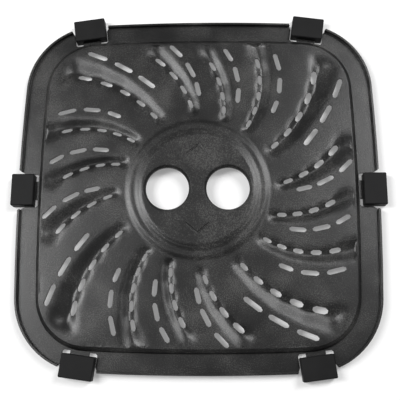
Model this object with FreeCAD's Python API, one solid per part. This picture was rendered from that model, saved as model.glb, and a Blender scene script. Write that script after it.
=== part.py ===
import FreeCAD, Part
import math
import os

# Air fryer grill plate, in millimetres.
# One pressed and coated steel sheet makes the plate: a flange with a turned-up lip, a
# raised panel with sixteen curved grooves and rows of air slots, and a stepped centre
# disc with two finger holes. Six silicone bumpers are pushed over tabs of the flange.
# X runs to the right, Y to the rear and Z up. The origin is on the surface that the
# bumpers stand on, under the middle of the plate.

# Sheet and heights
sheet = 1.2                 # thickness of the coated sheet
bumper_height = 7.0
bumper_under = 1.8          # silicone below the tab
panel_rise = 4.0            # panel above the flange
lip_rise = 2.4              # lip above the flange
disc_steps = (0.9, 1.2)     # the centre disc rises in two steps, from outside in

# Outline of the plate, over the lip
plate_size = 217.0          # between the middles of two opposite sides
side_bow = 1400.0           # radius of a side, which is slightly bowed out
corner_radius = 44.0
flange_width = 12.0         # from the outer face of the lip to the foot of the panel
wall_draft = 0.8            # how far the panel's wall leans in over its height
rim_width = 18.0            # the pressed rim, up to where the panel is a plain sheet

shoulder_bend = 1.5         # the shoulder is bevelled, cut this far back from its corner

# Centre disc, as radii of the foot and the top of each step, from outside in
disc_step_radii = ((43.6, 40.3), (37.2, 33.8))
disc_join = 45.5            # where the disc's section meets the plain panel
hole_spacing = 36.2
hole_radius = 12.9          # clear radius of a finger hole
hole_bend = 1.1             # the hole's edge is turned down over this bevel
collar_depth = 3.0          # turned-down edge, below the top of the disc
arrow_reach = 27.0          # tip of each chevron from the middle of the disc
arrow_span = 14.0
arrow_height = 6.0
arrow_width = 1.6           # each chevron is a shallow pressed line
arrow_depth = 0.4

# Grooves
groove_depth = 3.2          # at the outer end, from where a groove gets narrower and shallower
end_lean = 45.0             # slope of a groove's end, in degrees from upright
end_turn = 22.0             # the end is cut back by this angle on its steep side
cone_sides = 32             # a groove is formed in short flat lengths, each one side of a cone
slot_flat = 0.45            # flat in the blunt end of a slot, as a share of its width
quarter_turns = 4           # the same four grooves are repeated four times

# The grooves and slots are drawn for a disc and a panel of these sizes. Where those are
# others, each point moves along its radius and keeps its place between the two.
drawn_disc_join = 45.5
drawn_panel_half = 90.5

# Every groove is an arc through three points, from near the disc to near the shoulder.
# The row of short slots lies on its steep wall and follows the arc. The gentle wall is on
# the outer side of the arc. The long slots lie in the panel beyond the gentle wall.
# Pairs are values at the inner and at the outer end.
grooves = [
    {
        "path": ((43.0, 24.1), (63.6, 48.6), (72.9, 79.2)),
        "steep_width": (3.2, 5.8), "gentle_width": (4.0, 9.3),
        "short_slots": 5, "first_slot": 4.8, "slot_pitch": 11.4, "pitch_growth": 0.9,
        "short_length": (5.4, 9.4), "short_width": (2.6, 3.9),
        "long_centres": ((68.4, 32.0), (78.0, 46.6), (85.7, 63.1)),
        "long_lengths": (12.8, 12.8, 13.2), "long_width": 3.1,
    },
    {
        "path": ((28.8, 37.3), (38.0, 63.5), (33.9, 91.0)),
        "steep_width": (2.8, 4.2), "gentle_width": (3.0, 4.8),
        "short_slots": 5, "first_slot": 4.3, "slot_pitch": 9.3, "pitch_growth": 0.6,
        "short_length": (5.2, 7.2), "short_width": (2.3, 3.0),
        "long_centres": ((47.1, 51.5), (50.3, 65.3), (49.0, 80.7)),
        "long_lengths": (8.8, 10.6, 11.6), "long_width": 2.9,
    },
    {
        "path": ((15.4, 43.5), (13.6, 66.7), (3.4, 87.5)),
        "steep_width": (2.7, 3.8), "gentle_width": (2.8, 3.8),
        "short_slots": 4, "first_slot": 6.4, "slot_pitch": 9.3, "pitch_growth": 0.7,
        "short_length": (5.4, 7.2), "short_width": (2.3, 3.0),
        "long_centres": ((24.7, 59.0), (23.75, 72.9), (18.75, 85.8)),
        "long_lengths": (10.0, 10.6, 9.8), "long_width": 2.9,
    },
    {
        "path": ((48.7, 2.9), (69.6, 12.9), (86.1, 29.1)),
        "steep_width": (2.7, 4.8), "gentle_width": (3.2, 6.4),
        "short_slots": 4, "first_slot": 5.7, "slot_pitch": 10.4, "pitch_growth": 0.9,
        "short_length": (5.6, 8.2), "short_width": (2.3, 3.4),
        "long_centres": ((63.5, 0.2), (76.1, 4.8), (88.7, 13.9)),
        "long_lengths": (9.6, 11.2, 10.8), "long_width": 2.9,
    },
]

# Notches, tabs and bumpers
bumper_width = 19.4
bumper_overhang = 4.0       # how far a bumper stands out past the plate
bumper_gap = 2.0            # between a bumper and the inner edge of its notch
bumper_bevel = 0.5          # on all edges of the bumper
corner_bumper_turn = 7.8    # degrees round the corner arc, from the side's end
notch_clearance = 0.5       # each side of the bumper
notch_depth = 11.6          # from the outer face of the lip
notch_flare = 2.2           # how much wider each side of the notch is at the lip
notch_flare_depth = 4.0
notch_corner = 0.9
tab_width = 11.4
tab_reach = 1.4             # past the outline of the plate, inside the bumper
tab_corner = 2.0
tab_root = 0.8              # how far the tab runs into the flange behind the notch
tab_clearance = 0.1         # between the tab and the bumper's pocket
key_length = 3.6            # moulded key that locks the bumper in a window of its tab
key_width = 5.0
key_clearance = 0.1
key_setback = 5.0           # middle of the key from the outline of the plate

# Heights worked out from the sizes above
tab_middle = bumper_under + sheet / 2
flange_under = tab_middle - sheet / 2
flange_top = tab_middle + sheet / 2
lip_top = flange_top + lip_rise
panel_top = flange_top + panel_rise
disc_top = panel_top + sum(disc_steps)
margin = 1.0                # how far a cutting tool runs past what it cuts
cutter_size = 50.0          # of a block that cuts off the end of a groove

UP = FreeCAD.Vector(0, 0, 1)
ORIGIN = FreeCAD.Vector(0, 0, 0)


def around(radius, degrees, centre=(0.0, 0.0), z=0.0):
    """A point on a circle round a centre, at an angle from the X axis."""
    angle = math.radians(degrees)
    x = centre[0] + radius * math.cos(angle)
    y = centre[1] + radius * math.sin(angle)
    return FreeCAD.Vector(x, y, z)


def blend(pair, share):
    """A value between the inner and the outer end of a groove."""
    return pair[0] + (pair[1] - pair[0]) * share


def arc(first, middle, last):
    return Part.Arc(first, middle, last).toShape()


def prism(wire, low, high):
    """The solid between two heights that has a closed flat wire as its outline."""
    face = Part.Face(wire)
    face.translate(FreeCAD.Vector(0, 0, low - wire.BoundBox.ZMin))
    return face.extrude(FreeCAD.Vector(0, 0, high - low))


def rod(x, y, radius, low, high):
    return Part.makeCylinder(radius, high - low, FreeCAD.Vector(x, y, low), UP)


# The outline is eight arcs: a bowed side and a corner, four times round
half_size = plate_size / 2
side_centre = half_size - side_bow
corner_centre = (side_centre + math.sqrt(2 * (side_bow - corner_radius) ** 2 - side_centre ** 2)) / 2
side_angle = math.degrees(math.atan2(corner_centre, corner_centre - side_centre))


def outline_arcs():
    """Centre, radius, start angle and sweep of each arc, counterclockwise."""
    arcs = []
    for quarter in range(4):
        turn = 90 * quarter
        side = around(side_centre, turn)
        corner = around(corner_centre * math.sqrt(2), turn + 45)
        arcs.append((side, side_bow, turn - side_angle, 2 * side_angle))
        arcs.append((corner, corner_radius, turn + side_angle, 90 - 2 * side_angle))
    return arcs


def outline_wire(inset):
    edges = []
    for centre, radius, start, sweep in outline_arcs():
        spot = (centre.x, centre.y)
        points = [around(radius - inset, start + sweep * share, spot) for share in (0, 0.5, 1)]
        edges.append(arc(*points))
    return Part.Wire(edges)


def across(direction):
    """The direction to the left of one that lies in the XZ plane."""
    return FreeCAD.Vector(-direction.z, 0, direction.x)


def bevelled(points, bends):
    """The path of a bent sheet, with each corner cut back where it is bent."""
    path = [points[0]]
    for before, corner, after, bend in zip(points, points[1:], points[2:], bends):
        if bend:
            path.append(corner - (corner - before).normalize() * bend)
            path.append(corner + (after - corner).normalize() * bend)
        else:
            path.append(corner)
    path.append(points[-1])
    return path


def moved_sideways(path, offset):
    """A path in the XZ plane, moved to its left by an offset, with mitred corners."""
    legs = [(after - before).normalize() for before, after in zip(path, path[1:])]
    moved = [path[0] + across(legs[0]) * offset]
    for corner, inward, outward in zip(path[1:], legs, legs[1:]):
        mitre = across(inward) + across(outward)
        moved.append(corner + mitre * (offset * 2 / mitre.dot(mitre)))
    moved.append(path[-1] + across(legs[-1]) * offset)
    return moved


def strip_section(path, bends, shift=0.0):
    """Section of the bent sheet, whose middle follows the path of distances and heights."""
    points = [FreeCAD.Vector(distance + shift, 0, height) for distance, height in path]
    middle = bevelled(points, bends)
    left = moved_sideways(middle, sheet / 2)
    right = moved_sideways(middle, -sheet / 2)
    return Part.Face(Part.makePolygon(left + right[::-1] + left[:1]))


def pressed_rim():
    """Shoulder, wall, flange and lip: one section, turned about each arc of the outline."""
    panel_middle = panel_top - sheet / 2
    foot = -flange_width - sheet / 2
    path = [
        (-rim_width, panel_middle),
        (foot - wall_draft, panel_middle),
        (foot, tab_middle),
        (-sheet / 2, tab_middle),
        (-sheet / 2, lip_top),
    ]
    bends = (shoulder_bend, 0, 0)
    pieces = []
    for centre, radius, start, sweep in outline_arcs():
        section = strip_section(path, bends, shift=radius)
        section.rotate(ORIGIN, UP, start)
        section.translate(centre)
        pieces.append(section.revolve(centre, UP, sweep))
    return pieces


def stepped_disc():
    """The raised centre: a stepped section turned about the middle of the plate."""
    height = panel_top - sheet / 2
    path = [(disc_join, height)]
    for (foot, top), rise in zip(disc_step_radii, disc_steps):
        path.append((foot, height))
        height += rise
        path.append((top, height))
    path.append((0.0, height))
    section = strip_section(path, [0] * (len(path) - 2))
    return section.revolve(ORIGIN, UP, 360)


def finger_hole(disc, x):
    """A round hole whose edge is turned down into a short collar."""
    wall = hole_radius + sheet / 2
    opening = wall + hole_bend
    path = [
        (opening + margin, disc_top - sheet / 2),
        (wall, disc_top - sheet / 2),
        (wall, disc_top - collar_depth),
    ]
    section = strip_section(path, [hole_bend])
    section.translate(FreeCAD.Vector(x, 0, 0))
    collar = section.revolve(FreeCAD.Vector(x, 0, 0), UP, 360)
    return disc.cut(rod(x, 0, opening, 0, disc_top + margin)).fuse(collar)


def chevron(side):
    """A shallow V-shaped line in the disc that points to the front or the rear."""
    tip = FreeCAD.Vector(0, side * arrow_reach, disc_top)
    tools = []
    for hand in (-1, 1):
        end = FreeCAD.Vector(hand * arrow_span / 2, side * (arrow_reach - arrow_height), disc_top)
        along = (end - tip).normalize()
        sideways = UP.cross(along) * (arrow_width / 2)
        down = UP * arrow_depth
        corners = [tip + sideways, tip - down, tip - sideways, tip + sideways]
        tools.append(Part.Face(Part.makePolygon(corners)).extrude(end - tip))
    return tools


def fitted(x, y):
    """A point of the drawn pattern, moved along its radius to fit the disc and the panel."""
    spot = FreeCAD.Vector(x, y, 0)
    panel_half = half_size - rim_width
    share = (spot.Length - drawn_disc_join) / (drawn_panel_half - drawn_disc_join)
    return spot.normalize() * blend((disc_join, panel_half), share)


def groove_arc(groove):
    """Centre, radius, start angle and sweep of a groove's arc, and its stretch from the drawing."""
    fitted_arc = arc(*[fitted(*point) for point in groove["path"]])
    drawn_arc = arc(*[FreeCAD.Vector(*point) for point in groove["path"]])
    circle = fitted_arc.Curve
    start = bearing(fitted_arc.firstVertex().Point - circle.Center)
    sweep = math.degrees(fitted_arc.Length / circle.Radius)
    return circle.Center, circle.Radius, start, sweep, fitted_arc.Length / drawn_arc.Length


def mouth_arcs(groove):
    """The two long edges of a groove's mouth: on the side of its centre, and on the other."""
    centre, radius, start, sweep, stretch = groove_arc(groove)
    edges = []
    for side in (-1, 1):
        points = []
        for share in (0, 0.5, 1):
            steep = blend(groove["steep_width"], share) * stretch
            gentle = blend(groove["gentle_width"], share) * stretch
            reach = -steep / 2 if side < 0 else steep / 2 + gentle
            points.append(around(radius + reach, start + sweep * share, centre, panel_top))
        edges.append(points)
    return edges


def bearing(direction):
    """The angle of a direction in the plan, in degrees from the X axis."""
    return math.degrees(math.atan2(direction.y, direction.x))


def flat_sided_cone(points, run):
    """A cone with flat sides under an arc, wider by the run at the groove's full depth."""
    circle = arc(*points).Curve
    depth = groove_depth + margin
    start = bearing(points[1] - circle.Center)
    turns = [start + 360 * side / cone_sides for side in range(cone_sides)]
    low_radius = circle.Radius + run * depth / groove_depth
    low_height = panel_top - depth
    top = [around(circle.Radius, turn, circle.Center, panel_top) for turn in turns]
    low = [around(low_radius, turn, circle.Center, low_height) for turn in turns]
    faces = [Part.Face(Part.makePolygon(ring + ring[:1])) for ring in (top, low)]
    for side in range(cone_sides):
        corners = [top[side - 1], top[side], low[side], low[side - 1], top[side - 1]]
        faces.append(Part.Face(Part.makePolygon(corners)))
    return Part.Solid(Part.Shell(faces))


def end_block(spot, facing):
    """What lies beyond a plane that leans back under a point, as a groove's end does."""
    corner = FreeCAD.Vector(0, -cutter_size / 2, -cutter_size / 2)
    block = Part.makeBox(cutter_size, cutter_size, cutter_size, corner)
    block.rotate(ORIGIN, FreeCAD.Vector(0, 1, 0), end_lean)
    return placed(block, spot, facing)


def groove_hollow(groove):
    """The space that a groove takes out of the panel: between two cones and two ends."""
    near, far = mouth_arcs(groove)
    stretch = groove_arc(groove)[4]
    outside = flat_sided_cone(far, -groove["gentle_width"][1] * stretch)
    inside = flat_sided_cone(near, groove["steep_width"][1] * stretch)
    ends = []
    for near_end, far_end, direction in ((near[0], far[0], -1), (near[2], far[2], 1)):
        ahead = UP.cross(far_end - near_end) * direction
        ends.append(end_block(far_end, bearing(ahead) - direction * end_turn))
    pieces = outside.cut(inside.multiFuse(ends)).Solids
    return min(pieces, key=lambda piece: piece.CenterOfMass.distanceToPoint(near[1]))


def slot(centre, along, length, width):
    """A straight slot with blunt ends, as a prism through the panel."""
    ahead = along * (length / 2)
    shoulder = along * ((length - width) / 2)
    aside = UP.cross(along) * (width / 2)
    tip = aside * slot_flat
    corners = [ahead - tip, ahead + tip, shoulder + aside, aside - shoulder]
    corners += [corner * -1 for corner in corners]
    corners = [centre + corner for corner in corners]
    low = panel_top - groove_depth - sheet - margin
    return prism(Part.makePolygon(corners + corners[:1]), low, panel_top + margin)


def short_slots(groove):
    """The row of short slots on the steep wall."""
    centre, radius, start, sweep, stretch = groove_arc(groove)
    tools = []
    for index in range(groove["short_slots"]):
        growth = groove["pitch_growth"] * index * (index - 1) / 2
        travel = (groove["first_slot"] + groove["slot_pitch"] * index + growth) * stretch
        turn = math.degrees(travel / radius)
        length = blend(groove["short_length"], turn / sweep) * stretch
        width = blend(groove["short_width"], turn / sweep) * stretch
        middle = around(radius, start + turn, centre)
        tools.append(slot(middle, around(1.0, start + turn + 90), length, width))
    return tools


def long_slots(groove):
    """Three long slots beside the groove, each along the circle through their centres."""
    centres = [fitted(*point) for point in groove["long_centres"]]
    circle = arc(*centres).Curve
    stretch = groove_arc(groove)[4]
    tools = []
    for centre, length in zip(centres, groove["long_lengths"]):
        along = UP.cross(centre - circle.Center).normalize()
        tools.append(slot(centre, along, length * stretch, groove["long_width"] * stretch))
    return tools


def repeated(shapes):
    """Every shape in each quarter of the plate."""
    copies = []
    for quarter in range(quarter_turns):
        for shape in shapes:
            copy = shape.copy()
            copy.rotate(ORIGIN, UP, quarter * 360 / quarter_turns)
            copies.append(copy)
    return copies


def bumper_places():
    """Name, point on the outline and outward angle of each bumper."""
    places = [("bumper_right", FreeCAD.Vector(half_size, 0, 0), 0.0)]
    places.append(("bumper_left", FreeCAD.Vector(-half_size, 0, 0), 180.0))
    for end, rear in (("rear", 1), ("front", -1)):
        for side, right in (("right", 1), ("left", -1)):
            angle = math.degrees(math.atan2(rear, 0)) - right * rear * corner_bumper_turn
            corner = (right * corner_centre, rear * corner_centre)
            places.append((f"bumper_{end}_{side}", around(corner_radius, angle, corner), angle))
    return places


def placed(shape, spot, angle):
    """A shape made at the origin, facing +X, moved to its place on the outline."""
    shape.rotate(ORIGIN, UP, angle)
    shape.translate(spot)
    return shape


def notch():
    """The gap that is cut in the flange for a bumper, wider where it meets the lip."""
    half = bumper_width / 2 + notch_clearance
    mouth = half + notch_flare
    corners = [
        (-notch_depth, -half),
        (-notch_flare_depth, -half),
        (0.0, -mouth),
        (margin, -mouth),
        (margin, mouth),
        (0.0, mouth),
        (-notch_flare_depth, half),
        (-notch_depth, half),
        (-notch_depth, -half),
    ]
    outline = Part.makePolygon([FreeCAD.Vector(x, y, 0) for x, y in corners])
    body = prism(outline, 0, lip_top + margin)
    inner = [edge for edge in upright_edges(body) if edge.BoundBox.XMax < -notch_depth + margin]
    return body.makeChamfer(notch_corner, inner)


def upright_edges(body):
    """The straight edges of a solid that run along Z."""
    found = []
    for edge in body.Edges:
        box = edge.BoundBox
        if box.ZLength > max(box.XLength, box.YLength) and box.XLength + box.YLength < 1e-6:
            found.append(edge)
    return found


def tab(growth=0.0):
    """The tab that carries a bumper. A growth makes the pocket that it fits in."""
    start = -notch_depth - tab_root
    length = tab_reach + growth - start
    width = tab_width + 2 * growth
    thickness = sheet + 2 * growth
    corner = FreeCAD.Vector(start, -width / 2, flange_under - growth)
    body = Part.makeBox(length, width, thickness, corner)
    outer = [edge for edge in upright_edges(body) if edge.BoundBox.XMin > 0]
    return body.makeChamfer(tab_corner + growth, outer)


def key(growth, low, high):
    """The key of a bumper, or with a growth the window that it fits in."""
    length = key_length + 2 * growth
    width = key_width + 2 * growth
    corner = FreeCAD.Vector(-key_setback - length / 2, -width / 2, low)
    return Part.makeBox(length, width, high - low, corner)


def windowed_tab():
    """The tab with its window for the key of the bumper."""
    return tab().cut(key(key_clearance, 0, bumper_height))


def bumper():
    """A moulded block with bevelled edges, a pocket for the tab and a key across it."""
    inner = -notch_depth + bumper_gap
    length = bumper_overhang - inner
    corner = FreeCAD.Vector(inner, -bumper_width / 2, 0)
    block = Part.makeBox(length, bumper_width, bumper_height, corner)
    block = block.makeChamfer(bumper_bevel, block.Edges)
    hollow = block.cut(tab(tab_clearance))
    across_pocket = key(0, flange_under - tab_clearance, flange_top + tab_clearance)
    return hollow.fuse(across_pocket).removeSplitter()


def grill_plate():
    """The whole pressed sheet."""
    sheet_face = prism(outline_wire(rim_width), panel_top - sheet, panel_top)
    panel = sheet_face.cut(rod(0, 0, disc_join, 0, disc_top))
    disc = stepped_disc()
    for x in (-hole_spacing / 2, hole_spacing / 2):
        disc = finger_hole(disc, x)
    plate = panel.multiFuse(pressed_rim() + [disc]).removeSplitter()
    hollows = repeated([groove_hollow(groove) for groove in grooves])
    troughs = []
    for hollow in hollows:
        trough = hollow.copy()
        trough.translate(FreeCAD.Vector(0, 0, -sheet))
        troughs.append(trough)
    plate = plate.multiFuse(troughs).cut(Part.makeCompound(hollows))
    slots = []
    for groove in grooves:
        slots += short_slots(groove) + long_slots(groove)
    plate = plate.cut(Part.makeCompound(repeated(slots)))
    plate = plate.cut(Part.makeCompound(chevron(1) + chevron(-1)))
    places = bumper_places()
    plate = plate.cut(Part.makeCompound([placed(notch(), spot, angle) for _, spot, angle in places]))
    plate = plate.multiFuse([placed(windowed_tab(), spot, angle) for _, spot, angle in places])
    return plate.removeSplitter()


parts = {"grill_plate": grill_plate()}
for name, spot, angle in bumper_places():
    parts[name] = placed(bumper(), spot, angle)

os.makedirs("parts", exist_ok=True)
for name, shape in parts.items():
    solids = shape.Solids
    assert len(solids) == 1 and solids[0].isValid(), name
    solids[0].exportStep(f"parts/{name}.step")
    print(name, "volume", round(solids[0].Volume, 1), "faces", len(solids[0].Faces))
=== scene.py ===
# %% [markdown]
# # An air fryer grill plate
# The object is a pressed steel sheet with a dark non-stick coating. Six silicone bumpers
# sit round its edge and keep it clear of the basket. The shapes come from the CAD frame,
# so this lesson is about two finishes, a softer copy of the sheet, and studio light.

# %% Load the frame
import math

import bmesh
import bpy
import numpy as np
from mathutils import Euler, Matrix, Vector
from mathutils.bvhtree import BVHTree


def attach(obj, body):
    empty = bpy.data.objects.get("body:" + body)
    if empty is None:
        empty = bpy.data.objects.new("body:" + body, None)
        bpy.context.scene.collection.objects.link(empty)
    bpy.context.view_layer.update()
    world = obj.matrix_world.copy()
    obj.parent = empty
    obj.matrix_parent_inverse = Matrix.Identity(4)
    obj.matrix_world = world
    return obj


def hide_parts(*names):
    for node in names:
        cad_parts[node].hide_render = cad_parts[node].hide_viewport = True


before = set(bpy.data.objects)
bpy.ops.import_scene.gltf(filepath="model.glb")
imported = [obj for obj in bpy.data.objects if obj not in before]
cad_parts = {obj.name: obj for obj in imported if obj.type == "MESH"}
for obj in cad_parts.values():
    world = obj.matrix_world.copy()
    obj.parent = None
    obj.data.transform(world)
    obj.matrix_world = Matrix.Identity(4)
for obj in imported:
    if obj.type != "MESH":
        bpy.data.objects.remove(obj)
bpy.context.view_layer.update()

# %% [markdown]
# ## Camera
# The picture looks almost straight down from above the front edge. Its lens was worked
# out from the square outline of the plate: the sides run together a little towards the
# rear, which a long lens would not show. The camera hangs 0.4 m above the plate.

# %% Place the camera
camera_data = bpy.data.cameras.new("plate_camera")
camera = bpy.data.objects.new("plate_camera", camera_data)
bpy.context.scene.collection.objects.link(camera)
camera.location = (0.0128, -0.0947, 0.4017)
camera.rotation_euler = Euler((0.2187, 0.0282, 0.0029), "XYZ")
camera_data.sensor_width = 36.0
camera_data.lens = 61.2
camera_data.clip_start = 0.01
bpy.context.scene.camera = camera
print("camera at", tuple(round(value, 3) for value in camera.location))

# %% [markdown]
# ## Shader maths in plain expressions
# A material is a graph of nodes, and most of them only add and multiply. The small class
# below wraps a socket, so that such sums can be written as Python and read as formulas.


# %% Wrap a socket
class Field:
    """A socket whose value changes over the surface."""

    def __init__(self, tree, socket):
        self.tree = tree
        self.socket = socket

    def combine(self, operation, first, second, clamp=False):
        node = self.tree.nodes.new("ShaderNodeMath")
        node.operation = operation
        node.use_clamp = clamp
        for slot, value in zip(node.inputs, (first, second)):
            if isinstance(value, Field):
                self.tree.links.new(value.socket, slot)
            else:
                slot.default_value = value
        return Field(self.tree, node.outputs[0])

    def __add__(self, other):
        return self.combine("ADD", self, other)

    __radd__ = __add__

    def __sub__(self, other):
        return self.combine("SUBTRACT", self, other)

    def __rsub__(self, other):
        return self.combine("SUBTRACT", other, self)

    def __mul__(self, other):
        return self.combine("MULTIPLY", self, other)

    __rmul__ = __mul__

    def clamped(self):
        return self.combine("ADD", self, 0.0, clamp=True)


# %% [markdown]
# Every other node comes from one method. It takes the node's type, the settings that are
# made before anything is linked, and the values or fields of its sockets.


# %% Make a material
class Finish:
    """A material with an empty node tree, and short ways to fill it."""

    def __init__(self, name):
        self.material = bpy.data.materials.new(name)
        self.material.use_nodes = True
        self.tree = self.material.node_tree
        self.tree.nodes.clear()
        self.output = self.tree.nodes.new("ShaderNodeOutputMaterial")

    def node(self, kind, settings=None, sockets=None):
        made = self.tree.nodes.new(kind)
        for name, value in (settings or {}).items():
            if name == "stops":
                ramp = made.color_ramp
                while len(ramp.elements) < len(value):
                    ramp.elements.new(1.0)
                for element, (position, colour) in zip(ramp.elements, value):
                    element.position = position
                    element.color = (*colour, 1.0) if len(colour) == 3 else colour
            else:
                setattr(made, name, value)
        for name, value in (sockets or {}).items():
            if isinstance(value, Field):
                self.tree.links.new(value.socket, made.inputs[name])
            else:
                made.inputs[name].default_value = value
        return made

    def field(self, kind, output, settings=None, sockets=None):
        return Field(self.tree, self.node(kind, settings, sockets).outputs[output])

    def surface(self, shader):
        self.tree.links.new(shader, self.output.inputs["Surface"])
        return self.material


# %% [markdown]
# ## The coating
# The steel is sprayed with a charcoal non-stick coating that cures to a fine pebbled
# skin. Up close it is grey flecks in black, and from a step away a soft satin. Three
# noises make it: flecks of about half a millimetre, a slow cloudiness, and the skin's
# relief. The coating also rounds every edge of the sheet, and a Bevel node gives the
# edges that soft line without a change to the shape.

# %% Coated steel
def coated_steel():
    finish = Finish("coated_steel_finish")
    place = finish.field("ShaderNodeTexCoord", "Object")
    flecks = finish.field(
        "ShaderNodeTexNoise", "Fac", {"noise_dimensions": "3D"},
        {"Vector": place, "Scale": 1700.0, "Detail": 2.0, "Roughness": 0.6},
    )
    clouds = finish.field(
        "ShaderNodeTexNoise", "Fac", None,
        {"Vector": place, "Scale": 45.0, "Detail": 3.0, "Roughness": 0.5},
    )
    pebbles = finish.field(
        "ShaderNodeTexNoise", "Fac", None,
        {"Vector": place, "Scale": 1500.0, "Detail": 2.0, "Roughness": 0.55},
    )
    tone = (0.62 * flecks + 0.38 * clouds).clamped()
    colour = finish.field(
        "ShaderNodeValToRGB", "Color",
        {"stops": [
            (0.34, (0.001, 0.001, 0.001)),
            (0.50, (0.007, 0.007, 0.0072)),
            (0.64, (0.060, 0.059, 0.057)),
        ]},
        {"Fac": tone},
    )
    rounded = finish.field("ShaderNodeBevel", "Normal", {"samples": 6}, {"Radius": 0.00035})
    relief = finish.field(
        "ShaderNodeBump", "Normal", None,
        {"Strength": 0.6, "Distance": 0.0001, "Height": pebbles, "Normal": rounded},
    )
    shader = finish.node("ShaderNodeBsdfPrincipled", None, {
        "Base Color": colour,
        "Roughness": 0.30 + 0.10 * clouds,
        "Specular IOR Level": 0.5,
        "Normal": relief,
    })
    return finish.surface(shader.outputs["BSDF"])


# %% [markdown]
# ## The silicone
# The bumpers are moulded silicone, matt and almost black. A rubber surface scatters a
# little light at every angle, so it never goes fully black. A faint grain from the
# mould breaks up the faces.

# %% Silicone
def silicone():
    finish = Finish("silicone_finish")
    place = finish.field("ShaderNodeTexCoord", "Object")
    dust = finish.field(
        "ShaderNodeTexNoise", "Fac", None,
        {"Vector": place, "Scale": 60.0, "Detail": 4.0, "Roughness": 0.6},
    )
    grain = finish.field(
        "ShaderNodeTexNoise", "Fac", None,
        {"Vector": place, "Scale": 2600.0, "Detail": 2.0, "Roughness": 0.5},
    )
    colour = finish.field(
        "ShaderNodeValToRGB", "Color",
        {"stops": [(0.35, (0.004, 0.004, 0.0043)), (0.65, (0.009, 0.009, 0.0093))]},
        {"Fac": (0.8 * dust + 0.2 * grain).clamped()},
    )
    rounded = finish.field("ShaderNodeBevel", "Normal", {"samples": 6}, {"Radius": 0.0004})
    relief = finish.field(
        "ShaderNodeBump", "Normal", None,
        {"Strength": 0.15, "Distance": 0.0001, "Height": grain, "Normal": rounded},
    )
    shader = finish.node("ShaderNodeBsdfPrincipled", None, {
        "Base Color": colour,
        "Roughness": 0.55 + 0.15 * dust,
        "Specular IOR Level": 0.2,
        "Normal": relief,
    })
    return finish.surface(shader.outputs["BSDF"])


# %% [markdown]
# ## Soft grooves
# A press draws the grooves out of flat sheet, so they have no sharp line anywhere. The
# CAD solid has the same grooves with flat facets, because it has to stay light. This
# step reads the height of its upper face on a grid, blurs that map by about the radius
# of the press tool, and lays a finer copy of the sheet on the blurred map. The slots
# have no height of their own, so they are left out of the blur and filled from around.

# %% Read the height of the panel
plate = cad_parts["grill_plate"]
sheet = 0.0012                # thickness of the sheet
panel_top = 0.0070            # height of the panel's flat
deepest = 0.0035              # no part of the upper face lies further below that flat
facing = 0.3                  # a face that leans up or down at least this much is no wall
relief_edge = 0.0930          # the blurred map reaches this far from the middle
corner_centre = 0.0630        # the panel's corners are round about here
step = 0.00075                # between two ticks of the map
above = 0.05                  # the rays start at this height
ticks = np.arange(-relief_edge, relief_edge + step, step)
reader = BVHTree.FromPolygons(
    [vertex.co for vertex in plate.data.vertices],
    [face.vertices for face in plate.data.polygons],
)


def to_edge(x, y):
    """How far a point is from the panel's edge, more than nothing inside it."""
    past = np.hypot(np.maximum(abs(x) - corner_centre, 0), np.maximum(abs(y) - corner_centre, 0))
    return relief_edge - corner_centre - past


heights = np.full((len(ticks), len(ticks)), np.nan)
for column, x in enumerate(ticks):
    for row, y in enumerate(ticks):
        if to_edge(x, y) < 0:
            continue
        spot, normal, _, _ = reader.ray_cast(Vector((x, y, above)), Vector((0.0, 0.0, -1.0)))
        if spot is not None and normal.z > facing and spot.z > panel_top - deepest:
            heights[column, row] = spot.z
print("grid of", len(ticks), "ticks, open at", int(np.isnan(heights).sum()), "of them")


# %% [markdown]
# The blur is a bell curve, once along the rows and once along the columns. The same blur
# of a map of ones, with nothing at the gaps, gives the weight to divide by. The grooves
# fade out toward the panel's edge, so the blur is wider there.

# %% Blur the map
soft_width = 0.0013           # of the bell curve over most of the panel
soft_width_at_edge = 0.0024
edge_zone = 0.018             # the wider curve comes in from this far inside the edge
edge_zone_run = 0.010         # and takes over within this length


def blurred(values, width):
    """The values spread by a bell curve of a width in metres, with gaps left out."""
    reach = int(3 * width / step)
    bell = np.exp(-0.5 * (np.arange(-reach, reach + 1) * step / width) ** 2)
    known = ~np.isnan(values)
    layers = []
    for layer in (np.where(known, values, 0.0), known.astype(float)):
        padded = np.pad(layer, reach, mode="edge")
        rows = np.array([np.convolve(line, bell, mode="valid") for line in padded])
        layers.append(np.array([np.convolve(line, bell, mode="valid") for line in rows.T]).T)
    return layers[0] / np.maximum(layers[1], 1e-9)


grid_x, grid_y = np.meshgrid(ticks, ticks, indexing="ij")
near_edge = np.clip((edge_zone - to_edge(grid_x, grid_y)) / edge_zone_run, 0, 1)
inner_map = blurred(heights, soft_width)
outer_map = blurred(heights, soft_width_at_edge)
soft_heights = inner_map * (1 - near_edge) + outer_map * near_edge
print("softest height", round(float(soft_heights.min()), 5), "highest", round(float(soft_heights.max()), 5))


# %% [markdown]
# A point of the sheet seldom lies on a tick, so its height is worked out from the four
# ticks round it.

# %% Look a height up
def soft_height(x, y):
    """The blurred height at points, between the ticks of the grid."""
    across = np.clip((x + relief_edge) / step, 0, len(ticks) - 1.001)
    along = np.clip((y + relief_edge) / step, 0, len(ticks) - 1.001)
    i, j = across.astype(int), along.astype(int)
    u, v = across - i, along - j
    low = soft_heights[i, j] * (1 - u) + soft_heights[i + 1, j] * u
    high = soft_heights[i, j + 1] * (1 - u) + soft_heights[i + 1, j + 1] * u
    return low * (1 - v) + high * v


print("height at one spot", round(float(soft_height(np.array([0.07]), np.array([0.0]))[0]), 5))

# %% [markdown]
# The centre disc is round, so its steps are a formula of the radius. The real disc has
# an outer slope and, inside it, two narrow steps with a line between them. Each step is
# given by the radius of its foot, the radius of its top, and its rise.

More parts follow.
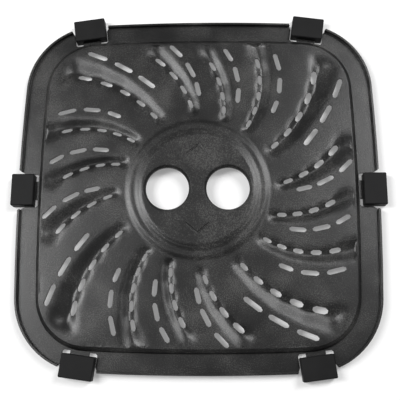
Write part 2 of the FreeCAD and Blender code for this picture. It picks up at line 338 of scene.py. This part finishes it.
# %% Steps of the disc
disc_reach = 0.0450           # the disc's formula holds out to this radius
disc_middle = 0.0320          # the flat inside this radius stays as it is
rim_clear = 0.0006            # a strip at the panel's edge that stays as it is
disc_rises = (
    (0.0436, 0.0403, 0.0009),
    (0.0375, 0.0360, 0.0006),
    (0.0352, 0.0337, 0.0006),
)


def disc_height(radius):
    height = np.full(radius.shape, panel_top)
    for foot, top, rise in disc_rises:
        share = np.clip((foot - radius) / (foot - top), 0, 1)
        height += rise * share * share * (3 - 2 * share)
    return height


def sheet_height(x, y):
    """Height of the sheet's upper face, and whether it is one that this step sets."""
    radius = np.hypot(x, y)
    in_disc = radius < disc_reach
    height = np.where(in_disc, disc_height(radius), soft_height(x, y))
    return height, (radius > disc_middle) & (to_edge(x, y) > rim_clear)


print("disc rises by", round(sum(rise for _, _, rise in disc_rises), 5), "m")

# %% [markdown]
# The copy needs small triangles where the sheet is curved. Its long edges are cut in
# half, which is repeated with a shorter limit each time. The limit is short in the
# relief and long on the flats, so the count stays low. Some needle triangles would be
# cut for ever, so each limit gets a few turns only.

# %% Refine the sheet
limits = (0.012, 0.006, 0.003, 0.0018)
limit_on_flats = 0.006
turns = 5                     # for each limit
curved_past = 0.00003         # a height this far from the flat counts as relief
same_point = 1e-6             # points closer than this are one


def long_edges(shape, limit_flat, limit_relief):
    ends = np.array([[*edge.verts[0].co, *edge.verts[1].co] for edge in shape.edges])
    length = np.linalg.norm(ends[:, 3:] - ends[:, :3], axis=1)
    curved = np.zeros(len(ends), bool)
    inside = np.zeros(len(ends), bool)
    for share in (0.0, 0.25, 0.5, 0.75, 1.0):
        x, y = (ends[:, k] * (1 - share) + ends[:, k + 3] * share for k in (0, 1))
        height, set_here = sheet_height(x, y)
        radius = np.hypot(x, y)
        step_here = (radius > disc_middle) & (radius < disc_reach)
        curved |= set_here & ((abs(height - panel_top) > curved_past) | step_here)
        inside |= set_here
    wanted = (inside & (length > limit_flat)) | (curved & (length > limit_relief))
    return [edge for edge, cut in zip(shape.edges, wanted) if cut]


shape = bmesh.new()
shape.from_mesh(plate.data)
bmesh.ops.remove_doubles(shape, verts=shape.verts, dist=same_point)
for limit in limits:
    for turn in range(turns):
        edges = long_edges(shape, max(limit, limit_on_flats), limit)
        bmesh.ops.subdivide_edges(shape, edges=edges, cuts=1)
        bmesh.ops.triangulate(shape, faces=[face for face in shape.faces if len(face.verts) > 3])
print("refined sheet has", len(shape.faces), "triangles")

# %% [markdown]
# A point of the upper face goes to the map's height, a point of the lower face a sheet's
# thickness below it, and a point in the wall of a slot halfway. The faces round a point
# tell which it is. This test has a known fault: some slivers at the slots end up folded
# flat, maybe where a leaning face meets a slot's lower rim, so the mesh is not clean.

# %% Lay the sheet on the blurred map
shape.normal_update()
shape.verts.index_update()
points = np.array([vertex.co for vertex in shape.verts])
height, set_here = sheet_height(points[:, 0], points[:, 1])
for vertex, target, wanted in zip(shape.verts, height, set_here):
    if not wanted:
        continue
    ups = [face.normal.z for face in vertex.link_faces]
    if max(ups) > facing:
        vertex.co.z = target
    elif min(ups) < -facing:
        vertex.co.z = target - sheet
    else:
        vertex.co.z = target - sheet / 2
print("moved", int(set_here.sum()), "points")

# %% [markdown]
# In the relief only the slots' rims are sharp. On the flange the foot and the lip are
# sharp too, so a smaller angle counts there. Weighted normals let a large flat shade as
# a flat, although its outer points are shared with a bend.

# %% Make the piece
sharp_in_relief = 38          # degrees between two faces
sharp_on_rim = 20
for edge in shape.edges:
    in_relief = all(set_here[vertex.index] for vertex in edge.verts)
    limit = sharp_in_relief if in_relief else sharp_on_rim
    edge.smooth = edge.calc_face_angle(0.0) < math.radians(limit)
pressed = bpy.data.meshes.new("pressed_sheet")
shape.to_mesh(pressed)
shape.free()
pressed_sheet = bpy.data.objects.new("pressed_sheet", pressed)
bpy.context.scene.collection.objects.link(pressed_sheet)
pressed.materials.clear()
pressed.materials.append(coated_steel())
pressed.polygons.foreach_set("use_smooth", [True] * len(pressed.polygons))
weighted = pressed_sheet.modifiers.new("weighted_normals", "WEIGHTED_NORMAL")
weighted.keep_sharp = True
weighted.weight = 100
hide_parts("grill_plate")
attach(pressed_sheet, "root")
print("pressed sheet box", [round(value, 4) for value in pressed_sheet.dimensions])

# %% [markdown]
# The real bumpers are moulded blocks with hardly any curve. Their CAD shape is right as
# it is, so it stays and only takes the silicone.

# %% Dress the bumpers
rubber = silicone()
for name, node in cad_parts.items():
    if name != "grill_plate":
        for slot in node.material_slots:
            slot.material = rubber
print("dressed", sorted(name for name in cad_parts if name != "grill_plate"))

# %% [markdown]
# ## Floor
# The plate lies on a white table. For the camera, gloss and glass a share of the table
# is plain white that no light changes. The rest is its own shading, so that the plate
# still throws its shadow.

# %% White table
plain_share = 0.25


def white_table():
    finish = Finish("white_table_finish")
    path = finish.node("ShaderNodeLightPath")
    seen = [Field(finish.tree, path.outputs[name]) for name in
            ("Is Camera Ray", "Is Glossy Ray", "Is Transmission Ray")]
    matt = finish.node("ShaderNodeBsdfDiffuse", None, {"Color": (0.95, 0.95, 0.95, 1.0)})
    glow = finish.node("ShaderNodeEmission", None, {"Color": (1.0, 1.0, 1.0, 1.0), "Strength": 1.0})
    share = plain_share * (seen[0] + seen[1] + seen[2]).clamped()
    mix = finish.node("ShaderNodeMixShader", None, {"Fac": share})
    finish.tree.links.new(matt.outputs[0], mix.inputs[1])
    finish.tree.links.new(glow.outputs[0], mix.inputs[2])
    return finish.surface(mix.outputs[0])


table_mesh = bpy.data.meshes.new("white_table")
half = 3.0                    # of the table's width
table_corners = [(-half, -half, 0.0), (half, -half, 0.0), (half, half, 0.0), (-half, half, 0.0)]
table_mesh.from_pydata(table_corners, [], [(0, 1, 2, 3)])
table_mesh.materials.append(white_table())
white_table_piece = bpy.data.objects.new("white_table", table_mesh)
bpy.context.scene.collection.objects.link(white_table_piece)
print("table is", 2 * half, "m wide")

# %% [markdown]
# ## Light
# In the picture the slopes that face left and right are bright and those that face the
# front and rear are dark. That is two long soft lamps, well to the left and to the
# right, with only a weak light from all round. The left one is a little stronger.

# %% Lamps
def lamp(name, place, aim, size, power):
    data = bpy.data.lights.new(name, "AREA")
    data.shape = "RECTANGLE"
    data.size, data.size_y = size
    data.energy = power
    piece = bpy.data.objects.new(name, data)
    piece.location = place
    piece.rotation_euler = (Vector(aim) - Vector(place)).to_track_quat("-Z", "Y").to_euler()
    bpy.context.scene.collection.objects.link(piece)
    print(name, "at", place, "with", power, "W")


plate_middle = (0.0, 0.0, 0.0)
lamp_size = (0.35, 0.7)
lamp("left_lamp", (-0.74, 0.12, 0.94), plate_middle, lamp_size, 11.5)
lamp("right_lamp", (0.64, 0.44, 0.92), plate_middle, lamp_size, 9.5)

world = bpy.data.worlds.new("studio")
world.use_nodes = True
all_round = world.node_tree.nodes["Background"]
all_round.inputs["Color"].default_value = (1.0, 1.0, 1.0, 1.0)
all_round.inputs["Strength"].default_value = 0.18
bpy.context.scene.world = world
bpy.context.scene.view_settings.view_transform = "Standard"
